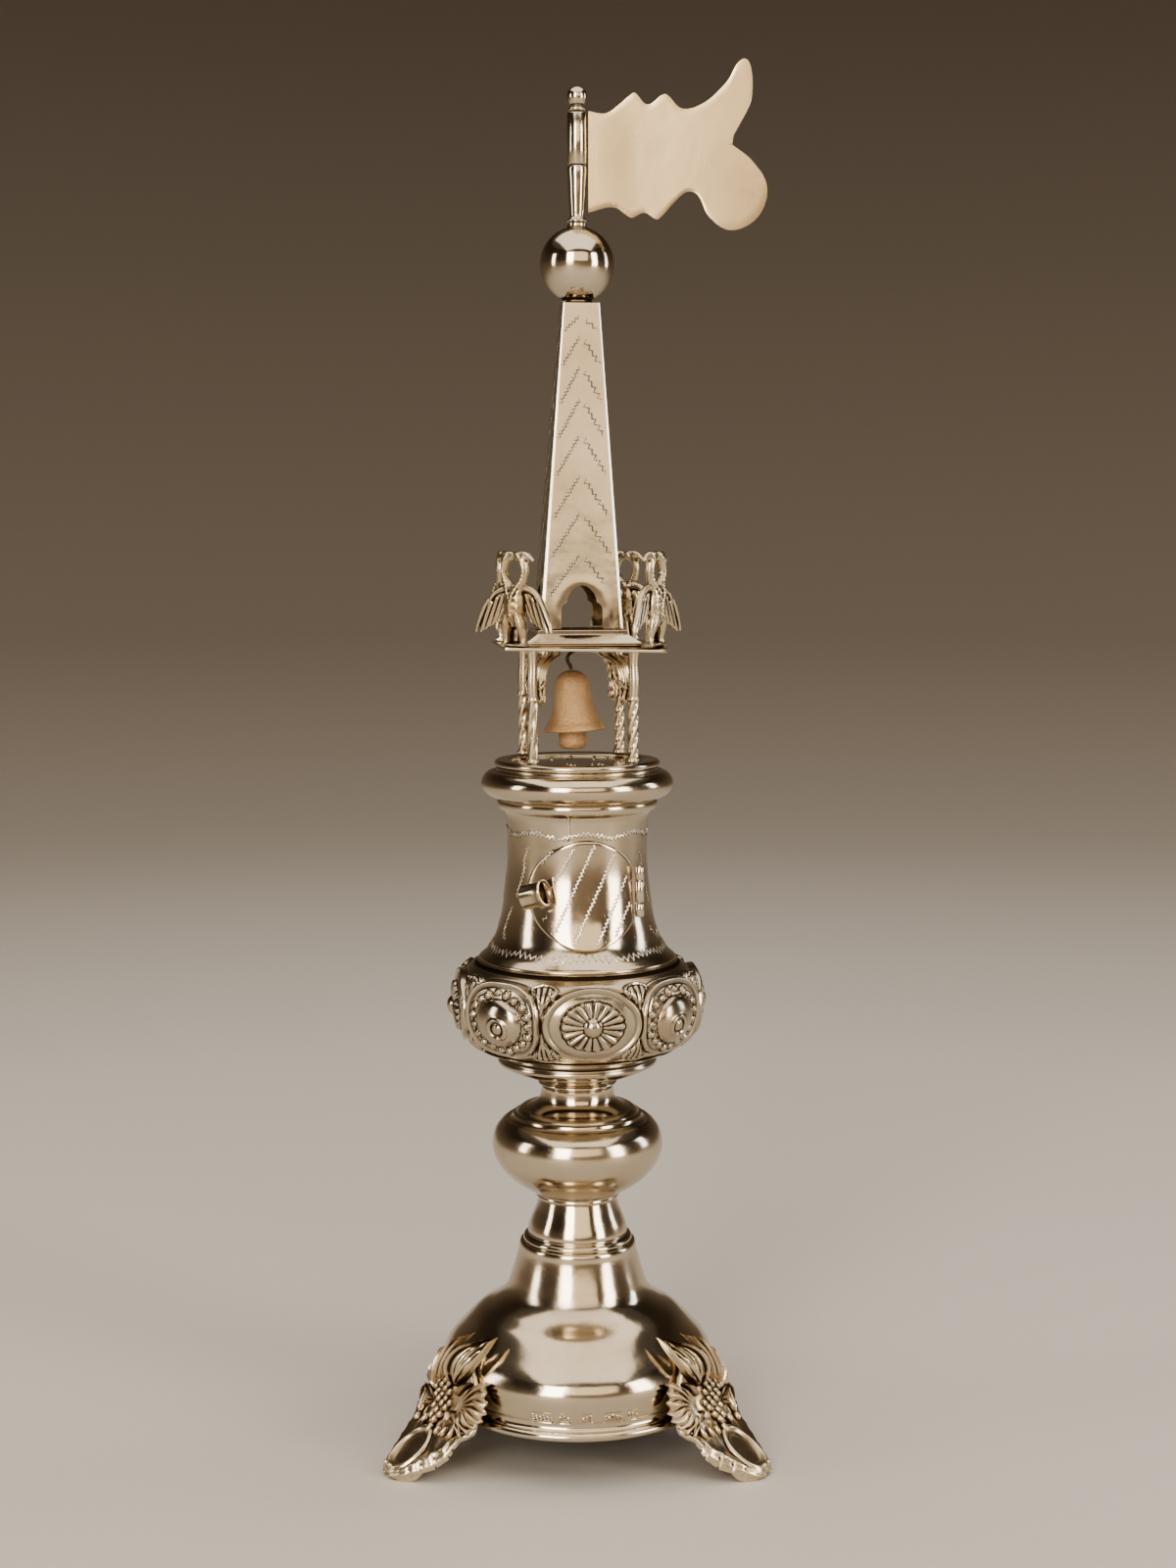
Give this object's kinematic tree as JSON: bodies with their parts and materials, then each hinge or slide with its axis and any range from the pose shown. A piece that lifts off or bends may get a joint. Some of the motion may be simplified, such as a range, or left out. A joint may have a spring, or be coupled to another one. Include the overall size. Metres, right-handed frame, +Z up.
{
  "type": "spice tower",
  "caption": "Tall silver spice tower: round spice box with hinged door on a knopped foot, bell gallery with eagles, tapering spire and turning flag.",
  "frame": {"origin": "middle of the box that holds the whole piece, at the height of the toe pads' undersides", "axes": "+Z up along the tower, -Y towards the viewer and the door, +X to the viewer's right"},
  "size_m": [0.0786, 0.0739, 0.28],
  "materials": {
    "silver": "polished silver, softly worn",
    "cast_silver": "cast silver, darker in the hollows",
    "bell_metal": "rough cast, matt"
  },
  "bodies": {
    "root": {"ball": "silver", "base_dome": "silver", "bell": "bell_metal", "bell_clapper": "bell_metal", "bell_hook": "silver", "bowl": "silver", "column_back_left": "cast_silver", "column_back_right": "cast_silver", "column_front_left": "cast_silver", "column_front_right": "cast_silver", "eagle_back_left": "cast_silver", "eagle_back_right": "cast_silver", "eagle_front_left": "cast_silver", "eagle_front_right": "cast_silver", "finial": "silver", "foot_back": "cast_silver", "foot_left": "cast_silver", "foot_right": "cast_silver", "gallery_floor": "silver", "hinge_knuckle_bottom": "silver", "hinge_knuckle_top": "silver", "hinge_pin": "silver", "knop": "silver", "neck": "silver", "platform": "silver", "pole": "silver", "spire": "silver", "spire_skirt": "silver", "stem_collar": "silver"},
    "door": {"door_plate": "silver", "door_pull": "silver", "hinge_knuckle_door": "silver"},
    "flag": {"flag_tube": "silver", "flag_sheet": "silver"}
  },
  "joints": [
    {"name": "door_hinge", "type": "hinge", "parent": "root", "child": "door", "pos_m": [0.01299, -0.01989, 0.1164], "axis": [0, 0, 1], "range_deg": [0, 120]},
    {"name": "flag_spin", "type": "hinge", "parent": "root", "child": "flag", "pos_m": [0.002, -0.00725, 0.2593], "axis": [0, 0, 1], "continuous": true}
  ]
}
